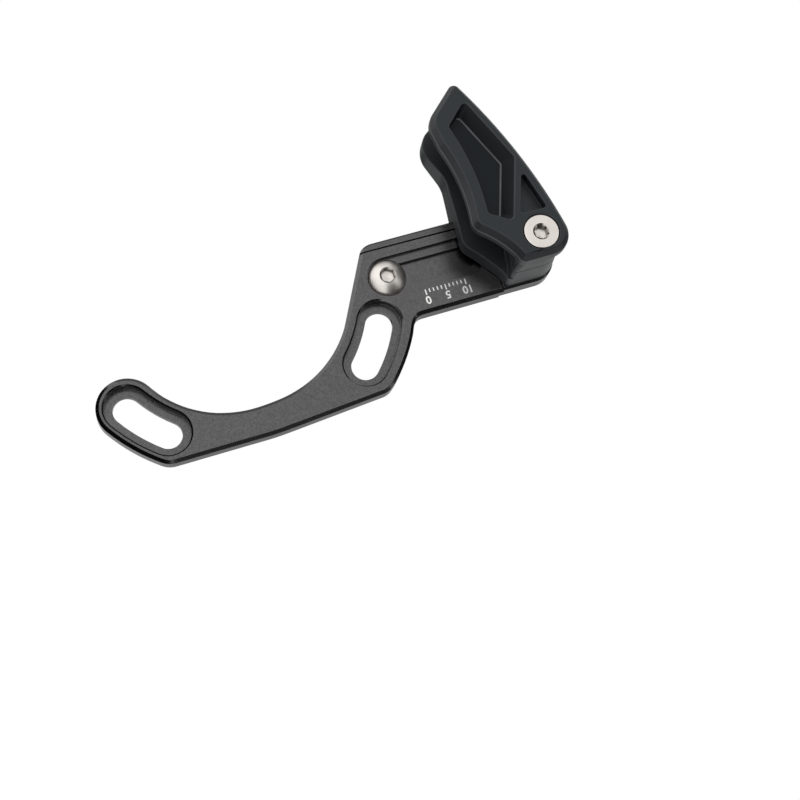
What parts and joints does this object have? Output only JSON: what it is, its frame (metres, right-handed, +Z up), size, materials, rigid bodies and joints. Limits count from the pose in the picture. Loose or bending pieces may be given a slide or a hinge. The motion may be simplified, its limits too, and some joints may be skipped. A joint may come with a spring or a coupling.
{
  "type": "bicycle_chain_guide",
  "caption": "Bicycle chain guide with a slotted anodised aluminium mounting arm, a height-adjustable slide plate and a two-part black nylon chain cage held by stainless socket screws.",
  "frame": {"origin": "on the axis of the bolt circle, in the plane of the back mounting face", "axes": "+Z up along the slide, +Y towards the bicycle frame, +X forward"},
  "size_m": [0.0661, 0.0248, 0.1156],
  "materials": {
    "arm_metal": "satin dark grey anodised",
    "slide_metal": "satin dark grey anodised",
    "nylon": "matte black moulded",
    "screw_steel": "bright stainless"
  },
  "bodies": {
    "arm": {"mounting_arm": "arm_metal"},
    "slider": {"slide_plate": "slide_metal", "inner_guide": "nylon", "outer_guide": "nylon", "guide_screw": "screw_steel", "clamp_screw": "screw_steel"}
  },
  "joints": [
    {"name": "height_slide", "type": "slide", "parent": "arm", "child": "slider", "axis": [0, 0, 1], "range_m": [0, 0.0195]}
  ]
}
